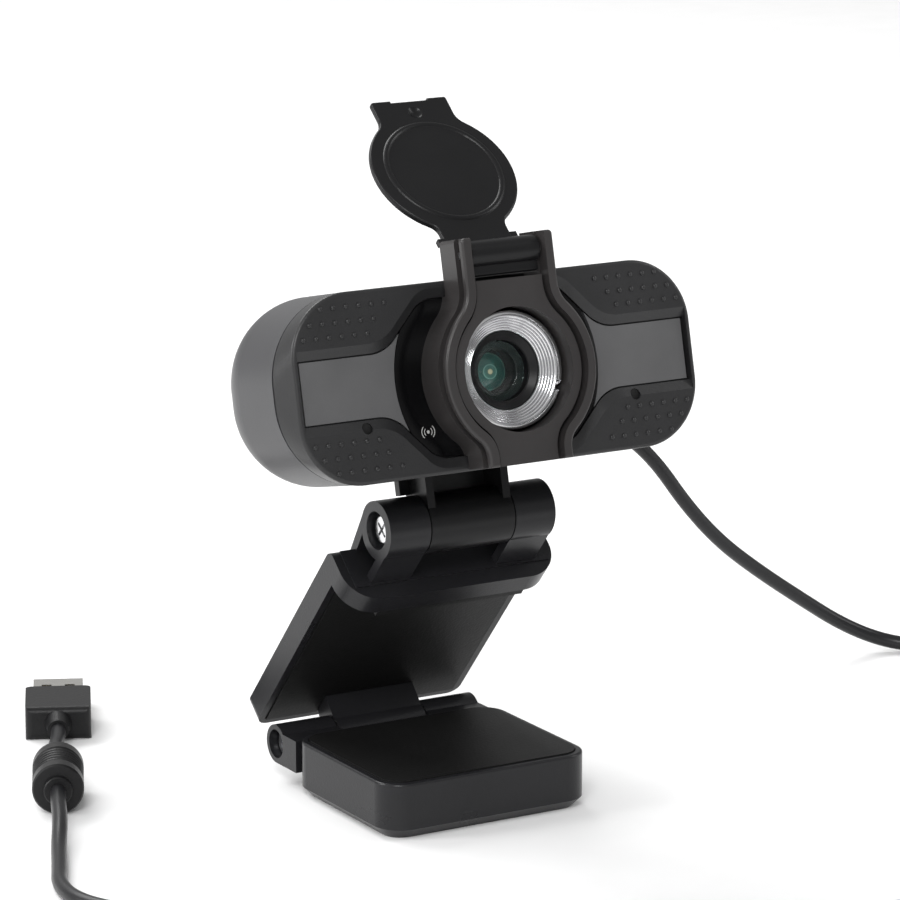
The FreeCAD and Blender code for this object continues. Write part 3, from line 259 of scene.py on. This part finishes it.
def grained(title, colour, rough, grain=1800.0, bump=0.12, cloud=0.12, depth=0.00012, **sockets):
    """Moulded or rolled surface: clouded colour and gloss, and a fine grain of the stated size."""
    finish = bpy.data.materials.new(title)
    finish.use_nodes = True
    links = finish.node_tree.links
    shader = finish.node_tree.nodes["Principled BSDF"]
    for name, value in sockets.items():
        shader.inputs[name.replace("_", " ")].default_value = value
    place = add_node(finish, "ShaderNodeTexCoord")
    slow = add_node(finish, "ShaderNodeTexNoise")
    slow.inputs["Scale"].default_value = CLOUD_SCALE
    slow.inputs["Detail"].default_value = 5
    fine = add_node(finish, "ShaderNodeTexNoise")
    fine.inputs["Scale"].default_value = grain
    fine.inputs["Detail"].default_value = 3
    for noise in (slow, fine):
        links.new(place.outputs["Object"], noise.inputs["Vector"])
    tone = add_node(finish, "ShaderNodeValToRGB")
    tone.color_ramp.elements[0].position = CLOUD_FROM
    tone.color_ramp.elements[1].position = CLOUD_TO
    tone.color_ramp.elements[0].color = tuple(c * (1 - cloud) for c in colour[:3]) + (1,)
    tone.color_ramp.elements[1].color = tuple(min(1, c * (1 + cloud)) for c in colour[:3]) + (1,)
    links.new(slow.outputs["Fac"], tone.inputs["Fac"])
    links.new(tone.outputs["Color"], shader.inputs["Base Color"])
    gloss = add_node(finish, "ShaderNodeMapRange")
    gloss.inputs["To Min"].default_value = rough * GLOSSIER
    gloss.inputs["To Max"].default_value = min(1, rough * DULLER)
    links.new(slow.outputs["Fac"], gloss.inputs["Value"])
    links.new(gloss.outputs["Result"], shader.inputs["Roughness"])
    relief = add_node(finish, "ShaderNodeBump")
    relief.inputs["Strength"].default_value = bump
    relief.inputs["Distance"].default_value = depth
    links.new(fine.outputs["Fac"], relief.inputs["Height"])
    links.new(relief.outputs["Normal"], shader.inputs["Normal"])
    return finish


print("a mid grey of 128 is", round(srgb(128), 3), "in the shader")

# %% [markdown]
# The head and the clip use seven black and grey plastics that differ in shade and in gloss. The rubber is
# nearly black and has little gloss. Metals set Metallic to 1, so that their colour tints the reflection.
# The table gives each finish its colour, roughness, grain and bump, in this order.

# %% Plastics, rubber and plain metals
finishes = {
    "shell_grey": grained("shell grey, fine grain", colour_of(54, 54, 56), 0.38, 2600, 0.25),
    "face_charcoal": grained("face charcoal, fine grain", colour_of(34, 34, 35), 0.36, 2600, 0.3,
                             Specular_IOR_Level=0.4),
    "panel_grey": grained("panel grey, satin", colour_of(80, 80, 81), 0.4, 3000, 0.12),
    "bracket_grey": grained("bracket grey, satin", colour_of(46, 44, 44), 0.34, 3000, 0.15,
                            Specular_IOR_Level=0.35),
    "gloss_black": grained("gloss black", colour_of(7, 7, 8), 0.16, 900, 0.01,
                           Specular_IOR_Level=0.2),
    "satin_black": grained("satin black", colour_of(20, 20, 21), 0.3, 2800, 0.14,
                           Specular_IOR_Level=0.22),
    "clip_charcoal": grained("clip charcoal, fine grain", colour_of(28, 28, 30), 0.28, 2400, 0.25,
                             Specular_IOR_Level=0.28),
    "rubber_black": grained("rubber, matt", colour_of(15, 15, 15), 0.5, 1500, 0.35,
                            Specular_IOR_Level=0.25),
    "bright_metal": grained("bright plating", (0.72, 0.72, 0.73, 1), 0.16, 700, 0.03, 0.04,
                            Metallic=1.0),
    "zinc": grained("zinc plating", (0.52, 0.53, 0.55, 1), 0.34, 1200, 0.1, Metallic=1.0),
    "brass": grained("brass", (0.66, 0.46, 0.2, 1), 0.3, 900, 0.08, Metallic=1.0),
    "board_green": grained("board green", (0.01, 0.1, 0.045, 1), 0.25, 700, 0.1),
    "chip_black": grained("chip moulding", colour_of(24, 24, 24), 0.5, 4000, 0.3),
    "sensor_glass": grained("sensor", (0.05, 0.03, 0.09, 1), 0.08, 4000, 0.05, 0.4),
    "white_plastic": grained("white moulding", colour_of(226, 226, 220), 0.35, 2000, 0.08, 0.03),
    "clear_plastic": grained("clear moulding", (0.8, 0.84, 0.86, 1), 0.1, 900, 0.02, 0.03,
                             Transmission_Weight=0.9),
    "cable_grey": grained("cable sheath", colour_of(24, 24, 26), 0.34, 1400, 0.2,
                          Specular_IOR_Level=0.3),
    "moulding_black": grained("grained black moulding", colour_of(17, 17, 18), 0.4, 1500, 0.5,
                              Specular_IOR_Level=0.25),
    "nickel": grained("nickel plating", (0.6, 0.59, 0.56, 1), 0.24, 1500, 0.12, Metallic=1.0),
    "gold": grained("gold plating", (0.75, 0.55, 0.24, 1), 0.25, 900, 0.05, Metallic=1.0),
    "ferrite": grained("ferrite", (0.03, 0.03, 0.03, 1), 0.6, 1500, 0.4),
    "lens_glass": grained("lens glass", (0.78, 0.93, 0.9, 1), 0.02, 300, 0.0, 0.02,
                          Transmission_Weight=1.0, IOR=1.3),
    "filter_glass": grained("filter glass", (0.75, 0.5, 0.6, 1), 0.05, 300, 0.0, 0.02,
                            Transmission_Weight=0.8),
}
slot_of_node = {s["node"]: s["material_slot"] for s in frame["record"]["subparts"]}


def wear(piece, slot):
    """Gives a piece the finish that belongs to this slot of the record."""
    piece.data.materials.clear()
    piece.data.materials.append(finishes[slot])
    return piece


for name, node in nodes.items():
    wear(node, slot_of_node[name])
print("finishes:", len(finishes))

# %% [markdown]
# ## The head's own frame
#
# The head looks up by about 13 degrees. Its small details are easier to place in a frame that lies on its
# face: x to the right, y into the head, z up the face, with zero on the lens axis. One small function
# carries such a place to the real one.

# %% From the head's frame to the room
HEAD_PITCH = math.radians(13.15)
LENS_PLACE = Vector((0, -25.09, 104.29))
HEAD_TURN = Matrix.Rotation(-HEAD_PITCH, 4, "X")
HEAD_FRAME = Matrix.Translation(LENS_PLACE * MM) @ HEAD_TURN @ Matrix.Scale(MM, 4)


def on_head(x, y, z):
    """The real place of a point that is given in the head's frame, in millimetres."""
    return HEAD_FRAME @ Vector((x, y, z))


print("lens axis meets the face at", [round(c, 4) for c in on_head(0, 0, 0)])

# %% [markdown]
# ## Raised dots
#
# Each of the four pads has three rows of six small domes. They repeat, so Geometry Nodes make them: a tree
# takes a mesh of loose points and sets the same shape on every point. Three helpers come first, because the
# ribs of the ferrite are made the same way: one starts a tree, one ends it with real faces and their
# finish, and one runs it.


# %% A helper that runs a tree
def new_tree(title, inputs):
    """An empty tree with a geometry in and out and the named numbers as inputs."""
    tree = bpy.data.node_groups.new(title, "GeometryNodeTree")
    tree.interface.new_socket("Geometry", in_out="INPUT", socket_type="NodeSocketGeometry")
    for name, value in inputs.items():
        socket = tree.interface.new_socket(name, in_out="INPUT", socket_type="NodeSocketFloat")
        socket.default_value = value
    tree.interface.new_socket("Geometry", in_out="OUTPUT", socket_type="NodeSocketGeometry")
    return tree, tree.nodes.new("NodeGroupInput"), tree.nodes.new("NodeGroupOutput")


def finish_tree(tree, last, output, finish):
    """Real faces, then the finish, then the way out."""
    real = tree.nodes.new("GeometryNodeRealizeInstances")
    dress = tree.nodes.new("GeometryNodeSetMaterial")
    dress.inputs["Material"].default_value = finish
    tree.links.new(last, real.inputs["Geometry"])
    tree.links.new(real.outputs["Geometry"], dress.inputs["Geometry"])
    tree.links.new(dress.outputs["Geometry"], output.inputs["Geometry"])


def run_tree(title, tree, points, values):
    """Runs a tree on loose points with these input values and returns the plain mesh."""
    base = bpy.data.meshes.new(title)
    base.from_pydata([tuple(p) for p in points], [], [])
    thing = bpy.data.objects.new(title, base)
    step = thing.modifiers.new(title, "NODES")
    step.node_group = tree
    for socket in tree.interface.items_tree:
        if socket.in_out == "INPUT" and socket.name in values:
            step[socket.identifier] = float(values[socket.name])
    mesh = mesh_of(thing)
    print(title, "faces:", len(mesh.polygons))
    return mesh


print("tree helpers ready")

# %% [markdown]
# The dot itself is a small ball that is pressed flat, turned with the face and sunk into it to its middle.
# A row is given by its height above or below the lens axis and by the place of its first dot.

# %% The dots
DOT_ROWS = [(17.6, 26.6), (14.4, 29.6), (11.4, 31.5)]
DOT_PITCH = 3.12
DOTS_IN_ROW = 6
DOT_DEPTH = 0.05
dot_sizes = {"dot radius": 0.62 * MM, "dot flatness": 0.72, "turn": -HEAD_PITCH}
dot_points = [on_head(side * (first + DOT_PITCH * k), DOT_DEPTH, up * z)
              for side in (-1, 1)
              for up in (-1, 1)
              for z, first in DOT_ROWS
              for k in range(DOTS_IN_ROW)]
tree, given, out = new_tree("raised dots", dot_sizes)
ball = tree.nodes.new("GeometryNodeMeshUVSphere")
ball.inputs["Segments"].default_value = 14
ball.inputs["Rings"].default_value = 8
flatten = tree.nodes.new("GeometryNodeTransform")
shape = tree.nodes.new("ShaderNodeCombineXYZ")
shape.inputs["X"].default_value = 1
shape.inputs["Z"].default_value = 1
turn = tree.nodes.new("ShaderNodeCombineXYZ")
spread = tree.nodes.new("GeometryNodeInstanceOnPoints")
tree.links.new(given.outputs["dot radius"], ball.inputs["Radius"])
tree.links.new(given.outputs["dot flatness"], shape.inputs["Y"])
tree.links.new(given.outputs["turn"], turn.inputs["X"])
tree.links.new(ball.outputs["Mesh"], flatten.inputs["Geometry"])
tree.links.new(shape.outputs["Vector"], flatten.inputs["Scale"])
tree.links.new(given.outputs["Geometry"], spread.inputs["Points"])
tree.links.new(flatten.outputs["Geometry"], spread.inputs["Instance"])
tree.links.new(turn.outputs["Vector"], spread.inputs["Rotation"])
finish_tree(tree, spread.outputs["Instances"], out, finishes["face_charcoal"])
dots = add_piece("pad_dots", run_tree("pad_dots", tree, dot_points, dot_sizes))

# %% [markdown]
# ## Round pieces on a lathe
#
# Rings, collars and domes are turned: a short list of (place along the axis, radius) is spun round the
# axis. Corners that are rounded on the real piece get an extra point or two in the list.


# %% Lathe
LATHE_STEPS = 64


def lathe(title, profile, start, along, steps=LATHE_STEPS):
    """Spins (distance along, radius) points round the axis; closed at both ends when they have radius 0."""
    along = Vector(along).normalized()
    across = along.cross(Vector((0, 0, 1))).normalized()
    other = along.cross(across)
    work = bmesh.new()
    rings = []
    for distance, radius in profile:
        if radius <= 0:
            rings.append([work.verts.new((start + along * distance) * MM)])
            continue
        ring = []
        for k in range(steps):
            angle = 2 * math.pi * k / steps
            away = across * math.cos(angle) + other * math.sin(angle)
            ring.append(work.verts.new((start + along * distance + away * radius) * MM))
        rings.append(ring)
    for lower, upper in zip(rings, rings[1:]):
        for k in range(steps):
            corners = [lower[k % len(lower)], lower[(k + 1) % len(lower)],
                       upper[(k + 1) % len(upper)], upper[k % len(upper)]]
            work.faces.new(list(dict.fromkeys(corners)))
    bmesh.ops.recalc_face_normals(work, faces=work.faces)
    mesh = bpy.data.meshes.new(title)
    work.to_mesh(mesh)
    work.free()
    print(title, "faces:", len(mesh.polygons))
    return mesh


print("a turned piece has", LATHE_STEPS, "steps round its axis if it asks for no other number")

# %% [markdown]
# ## The ferrite's cover
#
# A ferrite bead stops the cable from acting as an aerial. Its moulded cover has two smooth collars and a
# waist of five ribs. The cover is turned on the lathe, and a tree sets the ribs along its waist.

# %% Ferrite cover
COLLAR = 5.85
RIB_SUNK = 0.6
FIRST_RIB = 7.0
RIB_PITCH = 1.8
RIBS = 5
rib_sizes = {"rib radius": (COLLAR - RIB_SUNK) * MM, "rib half width": 0.58 * MM,
             "heading": -math.atan2(LEAD.x, LEAD.y)}
cover_profile = [(0, 1.7), (0, 3.0), (0.25, 3.25), (1.4, 3.3), (1.45, 4.9), (1.6, 5.5), (2.1, COLLAR),
                 (5.6, COLLAR), (6.1, 5.5), (6.2, 4.7), (15.0, 4.7), (15.1, 5.5), (15.6, COLLAR),
                 (19.1, COLLAR), (19.6, 5.5), (19.75, 4.9), (19.8, 3.3), (20.95, 3.25),
                 (FERRITE_LONG, 3.0), (FERRITE_LONG, 1.7)]
cover = lathe("ferrite_moulding", cover_profile, FERRITE_START, LEAD)
rib_places = [(FERRITE_START + LEAD * (FIRST_RIB + RIB_PITCH * k)) * MM for k in range(RIBS)]
tree, given, out = new_tree("ribs round a waist", rib_sizes)
hoop = tree.nodes.new("GeometryNodeCurvePrimitiveCircle")
hoop.inputs["Resolution"].default_value = 48
section = tree.nodes.new("GeometryNodeCurvePrimitiveCircle")
section.inputs["Resolution"].default_value = 10
bar = tree.nodes.new("GeometryNodeCurveToMesh")
heading = tree.nodes.new("ShaderNodeCombineXYZ")
heading.inputs["X"].default_value = math.pi / 2
spread = tree.nodes.new("GeometryNodeInstanceOnPoints")
tree.links.new(given.outputs["rib radius"], hoop.inputs["Radius"])
tree.links.new(given.outputs["rib half width"], section.inputs["Radius"])
tree.links.new(given.outputs["heading"], heading.inputs["Z"])
tree.links.new(hoop.outputs["Curve"], bar.inputs["Curve"])
tree.links.new(section.outputs["Curve"], bar.inputs["Profile Curve"])
tree.links.new(given.outputs["Geometry"], spread.inputs["Points"])
tree.links.new(bar.outputs["Mesh"], spread.inputs["Instance"])
tree.links.new(heading.outputs["Vector"], spread.inputs["Rotation"])
finish_tree(tree, spread.outputs["Instances"], out, finishes["moulding_black"])
ferrite = add_piece("ferrite_moulding", cover)
ferrite_ribs = add_piece("ferrite_ribs", run_tree("ferrite_ribs", tree, rib_places, rib_sizes))
wear(ferrite, "moulding_black")

# %% [markdown]
# ## The printed sign
#
# Beside the lens the glossy ring carries a small printed sign for radio waves: a dot between two pairs of
# arcs. Paint has almost no thickness, so the sign is a flat mesh that lies three hundredths of a millimetre
# proud of the ring.

# %% Radio-wave sign
SIGN_MIDDLE = (-18.7, -11.2)
SIGN_DEPTH = 1.32
SIGN_DOT = (0.02, 0.36)
SIGN_ARCS = ((0.86, 1.04), (1.5, 1.7))
ARC_HALF = 48
work = bmesh.new()


def add_arc(inner, outer, low, high, steps=14):
    """A flat curved strip between two radii and two angles, on the glossy ring."""
    edge = []
    for k in range(steps + 1):
        angle = math.radians(low + (high - low) * k / steps)
        edge.append([work.verts.new(on_head(SIGN_MIDDLE[0] + r * math.cos(angle), SIGN_DEPTH,
                                            SIGN_MIDDLE[1] + r * math.sin(angle)))
                     for r in (inner, outer)])
    for (a, b), (c, d) in zip(edge, edge[1:]):
        work.faces.new((a, b, d, c))


add_arc(*SIGN_DOT, 0, TURN)
for middle in (0, TURN / 2):
    for arc in SIGN_ARCS:
        add_arc(*arc, middle - ARC_HALF, middle + ARC_HALF)
bmesh.ops.recalc_face_normals(work, faces=work.faces)
sign_mesh = bpy.data.meshes.new("radio_sign")
work.to_mesh(sign_mesh)
work.free()
sign = add_piece("radio_sign", sign_mesh, smooth=False)
sign.data.materials.append(grained("sign print", colour_of(168, 168, 166), 0.5))
print("sign faces:", len(sign_mesh.polygons))

# %% [markdown]
# ## The focus ring and the glass
#
# The bright ring was cut on a lathe in fine steps, and each step throws back its own line of light. Real
# steps do this better than a bump, so the profile is a zigzag of ridges. Two finger notches are made
# after the turning, by sinking the points of the outer rings that lie inside a notch.

# %% Focus ring
LENS_AXIS = HEAD_TURN.to_3x3() @ Vector((0, 1, 0))
RING_FRONT = -4.9
RING_BACK = 0.6
RING_BORE = 8.6
RING_WIDE = 12.98
RING_STEPS = 180
RIDGES = 6
RIDGE_PITCH = 0.53
RIDGE_RISE = 0.36
RIDGE_START = (2.5, 8.62)
RIDGE_SHAPE = ((0, 0.08), (-0.1, 0.2), (-0.02, 0.34), (0.16, 0.48))
NOTCHES_AT = (-22, 158)
NOTCH_HALF = 0.9
NOTCH_DEEP = 1.6
NOTCH_FROM = 11.9
FRONT_BAND = 0.6
ring_profile = [(RING_BACK, RING_BORE), (RING_FRONT + 2.7, RING_BORE)]
for k in range(RIDGES):
    inner_edge = RIDGE_START[1] + RIDGE_PITCH * k
    height = RING_FRONT + RIDGE_START[0] - RIDGE_RISE * k
    ring_profile += [(height + rise, inner_edge + further) for rise, further in RIDGE_SHAPE]
ring_profile += [(RING_FRONT + 0.75, 11.85), (RING_FRONT + 0.2, 11.95), (RING_FRONT, 12.1),
                 (RING_FRONT, 12.55), (RING_FRONT + 0.12, 12.8), (RING_FRONT + 0.45, RING_WIDE),
                 (RING_BACK, RING_WIDE), (RING_BACK, RING_BORE)]
ring_mesh = lathe("turned_ring", ring_profile, LENS_PLACE, LENS_AXIS, RING_STEPS)
for vertex in ring_mesh.vertices:
    place = HEAD_FRAME.inverted() @ vertex.co
    radius = math.hypot(place.x, place.z)
    for turned in NOTCHES_AT:
        way = Vector((math.cos(math.radians(turned)), math.sin(math.radians(turned))))
        along = place.x * way.x + place.z * way.y
        aside = abs(place.x * way.y - place.z * way.x)
        in_notch = along > 0 and aside < NOTCH_HALF
        if in_notch and radius > NOTCH_FROM and place.y < RING_FRONT + FRONT_BAND:
            vertex.co += LENS_AXIS * NOTCH_DEEP * MM
ring = add_piece("turned_ring", ring_mesh)
wear(ring, "bright_metal")

# %% [markdown]
# Two glasses show: the bulging one in front, and a smaller one five millimetres deeper, seen through it.
# Both are domes off the lathe, because a dome needs many smooth steps. Of the two, only the front one lets
# light through.


# %% Domes
GLASS_STEPS = 96


def dome(title, front, radius, ball, thick, steps=14):
    """A lens with a ball-shaped front that starts at this depth, and a flat back."""
    profile = [(front, 0)]
    for k in range(1, steps + 1):
        reach = radius * k / steps
        profile.append((front + ball - math.sqrt(ball * ball - reach * reach), reach))
    profile += [(front + thick, radius), (front + thick, 0)]
    return add_piece(title, lathe(title, profile, LENS_PLACE, LENS_AXIS, GLASS_STEPS))


front_glass = dome("front_glass", front=-0.9, radius=6.55, ball=14.0, thick=2.3)
wear(front_glass, "lens_glass")
inner_glass = dome("inner_glass", front=4.0, radius=4.45, ball=8.0, thick=4.4)
print("domes finished:", front_glass.name, inner_glass.name)

# %% [markdown]
# The deeper glass carries the teal of its coating, a painted warm glint in the middle, painted rings of
# highlight, and colour that grows darker towards the rim. They depend on the distance from the lens axis
# alone, so the shader works that distance out and looks the colour up in a ramp. The same could be painted
# in a picture, but a ramp stays sharp at every size.


# %% Coating and painted glints of the inner glass
COATED_OUT_TO = 4.6
# Painted glint: the warm colour in the middle stands in for light that the glass throws back.
PAINTED_WARM_GLINT = (0.8, 0.6, 0.4, 1)
DARK_EDGE = (0.003, 0.006, 0.008, 1)
# The warm first step widens the painted glint. The lighter steps at 0.3 and 0.77 are painted rings of
# highlight. The teal steps are the coating's own colour.
COATING_TINT_AND_PAINTED_RINGS = ((0.09, (0.7, 0.5, 0.33, 1)), (0.13, (0.06, 0.13, 0.11, 1)),
           (0.26, (0.05, 0.15, 0.13, 1)), (0.3, (0.16, 0.3, 0.27, 1)),
           (0.34, (0.015, 0.08, 0.07, 1)), (0.72, (0.02, 0.1, 0.09, 1)),
           (0.77, (0.1, 0.2, 0.18, 1)), (0.82, (0.006, 0.02, 0.02, 1)))


def add_distance(finish):
    """Distance from the lens axis, in metres, from Object coordinates."""
    links = finish.node_tree.links
    place = add_node(finish, "ShaderNodeTexCoord")
    shift = add_node(finish, "ShaderNodeVectorMath", operation="SUBTRACT")
    shift.inputs[1].default_value = LENS_PLACE * MM
    across = add_node(finish, "ShaderNodeVectorMath", operation="CROSS_PRODUCT")
    across.inputs[1].default_value = LENS_AXIS
    length = add_node(finish, "ShaderNodeVectorMath", operation="LENGTH")
    links.new(place.outputs["Object"], shift.inputs[0])
    links.new(shift.outputs["Vector"], across.inputs[0])
    links.new(across.outputs["Vector"], length.inputs[0])
    return length.outputs["Value"]


# The material mixes the coating's teal with a painted warm glint and painted rings of highlight.
coating_and_glints = grained("coated inner glass, painted glints", (0.02, 0.1, 0.1, 1), 0.05, 300, 0.0, 0.1,
                 Coat_Weight=1.0, Coat_Roughness=0.02)
links = coating_and_glints.node_tree.links
tints = add_node(coating_and_glints, "ShaderNodeValToRGB")
tints.color_ramp.elements[0].color = PAINTED_WARM_GLINT
tints.color_ramp.elements[1].color = DARK_EDGE
for where, step_colour in COATING_TINT_AND_PAINTED_RINGS:
    tints.color_ramp.elements.new(where).color = step_colour
outward = add_node(coating_and_glints, "ShaderNodeMapRange")
outward.inputs["From Max"].default_value = COATED_OUT_TO * MM
links.new(add_distance(coating_and_glints), outward.inputs["Value"])
links.new(outward.outputs["Result"], tints.inputs["Fac"])
links.new(tints.outputs["Color"], coating_and_glints.node_tree.nodes["Principled BSDF"].inputs["Base Color"])
inner_glass.data.materials.append(coating_and_glints)
print("coating and painted glints have", len(tints.color_ramp.elements), "colours")

# %% [markdown]
# The two microphones end just inside their holes. They are made near black, as painted shade in the holes,
# so a hole shows as a black dot.

# %% Near-black microphones, painted shade in their holes
# This near black colour stands in for the shade inside each hole.
hole_shade_black = grained("near black, painted hole shade", colour_of(6, 6, 6), 0.9, 3000, 0.4)
for name in ("microphone_left", "microphone_right"):
    nodes[name].data.materials.clear()
    nodes[name].data.materials.append(hole_shade_black)
print("microphones darkened")

# %% [markdown]
# ## Joining the made pieces to the frame
#
# Every piece that was made here, but for the cable, now gets a body to ride on, and the pieces of the frame
# that made pieces stand for are hidden. The cable rides on no body, so it does not bend when the head tilts.

# %% Bodies and stand-ins
wear(cable, "cable_grey")
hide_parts("cable_drop", "cable_coil", "cable_front", "cable_end")
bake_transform(cable)
for piece, name in ((ferrite, "ferrite_cover"), (ring, "focus_ring"),
                    (front_glass, "front_lens"), (inner_glass, "inner_lens")):
    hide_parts(name)
for piece, body in ((ferrite, "clip"), (ferrite_ribs, "clip"), (dots, "head"), (sign, "head"),
                    (ring, "lens"), (front_glass, "lens"), (inner_glass, "lens")):
    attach(piece, body)
print("pieces joined")

# %% [markdown]
# ## Floor and light
#
# The webcam stands on a plain pale desk. Dark plastic shows itself by what it reflects, so the lights are
# large soft panels: two on the left, in front and behind, a long one on the right, and one above and behind
# that draws the upper edges. A world that is bright on the left and dim on the right fills the rest, so that
# the bright ring has something light and something dark to throw back.

# %% Floor
HALF_FLOOR = 4.0
CORNERS = ((-1, -1), (1, -1), (1, 1), (-1, 1))
floor_mesh = bpy.data.meshes.new("floor")
floor_mesh.from_pydata([(x * HALF_FLOOR, y * HALF_FLOOR, 0) for x, y in CORNERS], [], [(0, 1, 2, 3)])
floor = add_piece("floor", floor_mesh, smooth=False)
floor.data.materials.append(grained("pale desk", (0.9, 0.9, 0.9, 1), 0.7, 400, 0.02, 0.01))
print("floor is", 2 * HALF_FLOOR, "m wide")


# %% Lights
def add_panel(title, place, size, power):
    """A soft rectangular light that faces the head."""
    light = bpy.data.lights.new(title, "AREA")
    light.shape = "RECTANGLE"
    light.size, light.size_y = size
    light.energy = power
    panel = bpy.data.objects.new(title, light)
    panel.location = place
    panel.rotation_mode = "QUATERNION"
    panel.rotation_quaternion = (HEAD_MIDDLE - Vector(place)).to_track_quat("-Z", "Y")
    bpy.context.scene.collection.objects.link(panel)


add_panel("front left panel", (-1.0, -1.3, 1.3), (0.7, 0.7), 20)
add_panel("left back panel", (-1.6, 0.5, 0.8), (0.5, 0.9), 14)
add_panel("right panel", (1.5, -0.5, 0.9), (0.4, 1.2), 7)
add_panel("upper back panel", (-0.2, 1.2, 1.4), (1.4, 0.6), 18)
print("lights:", len(bpy.data.lights))

# %% World
SKY_LEFT = 0.85
SKY_RIGHT = 0.35
SKY_EVEN_FROM = 0.8
world = bpy.data.worlds.new("studio")
world.use_nodes = True
world.node_tree.nodes["Background"].inputs["Color"].default_value = (1, 1, 1, 1)
links = world.node_tree.links
sky_place = world.node_tree.nodes.new("ShaderNodeTexCoord")
split = world.node_tree.nodes.new("ShaderNodeSeparateXYZ")
fall = world.node_tree.nodes.new("ShaderNodeMapRange")
for name, value in (("From Min", -SKY_EVEN_FROM), ("From Max", SKY_EVEN_FROM),
                    ("To Min", SKY_LEFT), ("To Max", SKY_RIGHT)):
    fall.inputs[name].default_value = value
links.new(sky_place.outputs["Generated"], split.inputs["Vector"])
links.new(split.outputs["X"], fall.inputs["Value"])
links.new(fall.outputs["Result"], world.node_tree.nodes["Background"].inputs["Strength"])
bpy.context.scene.world = world
bpy.context.scene.view_settings.view_transform = "Standard"
print("world is", SKY_LEFT, "bright on the left and", SKY_RIGHT, "on the right")
